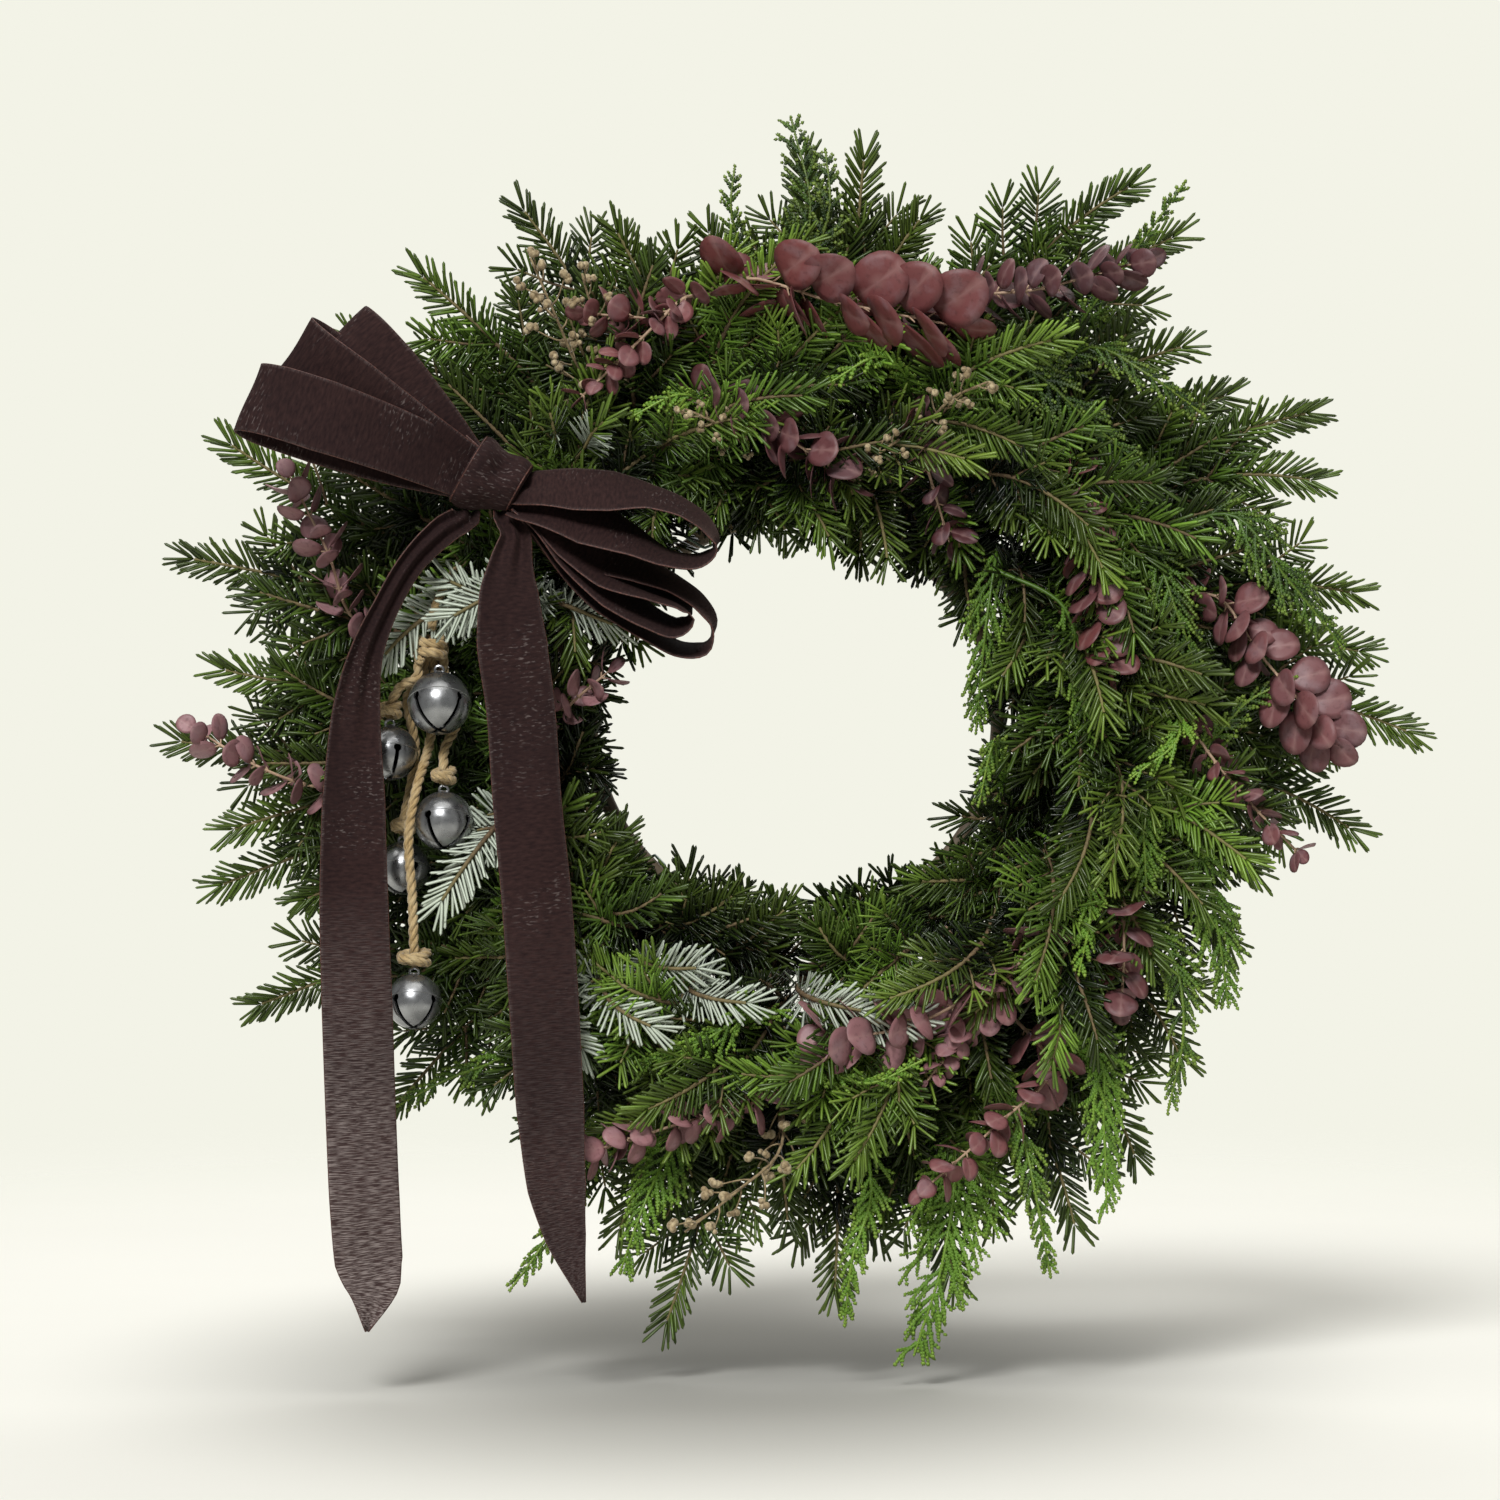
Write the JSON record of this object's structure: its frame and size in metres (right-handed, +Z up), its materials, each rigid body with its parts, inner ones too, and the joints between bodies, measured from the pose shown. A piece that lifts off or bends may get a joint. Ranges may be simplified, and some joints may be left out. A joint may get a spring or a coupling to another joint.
{
  "type": "fresh evergreen wreath",
  "caption": "Round hanging wreath of fresh fir, cedar and eucalyptus on a flat ring, with an open middle, a velvet bow with long tails and jingle bells on jute rope.",
  "frame": {"origin": "the place where a hook or nail bears under the frame's outer rail, at the top, on the wall plane", "axes": "+Z up, -Y out of the wreath's face towards the viewer, +Y towards the wall it hangs on, +X to the viewer's right"},
  "size_m": [0.6987, 0.1453, 0.6862],
  "materials": {
    "fir": "dark green fir needles with a waxy sheen, paler beneath, on brown twigs",
    "cedar": "yellow-green flat cedar scales",
    "eucalyptus": "matt burgundy and mauve preserved eucalyptus leaves with a grey bloom",
    "dried_flower": "dry tan flower heads and stems",
    "velvet": "dark brown velvet ribbon with thin copper edges",
    "jute": "three-ply twisted jute",
    "bell_metal": "satin silver",
    "pellet_steel": "plain steel",
    "willow": "smooth grey-brown bent wood",
    "green_wire": "green floral wire"
  },
  "bodies": {
    "root": {"wreath_frame": "willow", "binding_wire": "green_wire", "bow_knot": "velvet", "bow_loops_left": "velvet", "bow_loops_right": "velvet", "bow_tail_left": "velvet", "bow_tail_right": "velvet", "bow_tie_wire": "green_wire", "bell_1": "bell_metal", "bell_2": "bell_metal", "bell_3": "bell_metal", "bell_4": "bell_metal", "bell_5": "bell_metal", "bell_pellet_1": "pellet_steel", "bell_pellet_2": "pellet_steel", "bell_pellet_3": "pellet_steel", "bell_pellet_4": "pellet_steel", "bell_pellet_5": "pellet_steel", "rope_coil": "jute", "rope_strand_2": "jute", "rope_strand_3": "jute", "rope_strand_4": "jute", "rope_strand_5": "jute", "rope_hanger": "jute", "eucalyptus_01": "eucalyptus", "eucalyptus_02": "eucalyptus", "eucalyptus_03": "eucalyptus", "eucalyptus_04": "eucalyptus", "eucalyptus_05": "eucalyptus", "eucalyptus_06": "eucalyptus", "eucalyptus_07": "eucalyptus", "eucalyptus_08": "eucalyptus", "eucalyptus_09": "eucalyptus", "eucalyptus_10": "eucalyptus", "eucalyptus_11": "eucalyptus", "eucalyptus_12": "eucalyptus", "eucalyptus_13": "eucalyptus", "eucalyptus_14": "eucalyptus", "dried_sprig_1": "dried_flower", "dried_sprig_2": "dried_flower", "dried_sprig_3": "dried_flower", "cedar_spray_1": "cedar", "cedar_spray_2": "cedar", "cedar_spray_3": "cedar", "cedar_spray_4": "cedar", "cedar_spray_5": "cedar", "cedar_spray_6": "cedar", "fir_bunch_01": "fir", "fir_bunch_02": "fir", "fir_bunch_03": "fir", "fir_bunch_04": "fir", "fir_bunch_05": "fir", "fir_bunch_06": "fir", "fir_bunch_07": "fir", "fir_bunch_08": "fir", "fir_bunch_09": "fir", "fir_bunch_10": "fir", "fir_bunch_11": "fir", "fir_bunch_12": "fir", "fir_bunch_13": "fir"}
  },
  "joints": []
}
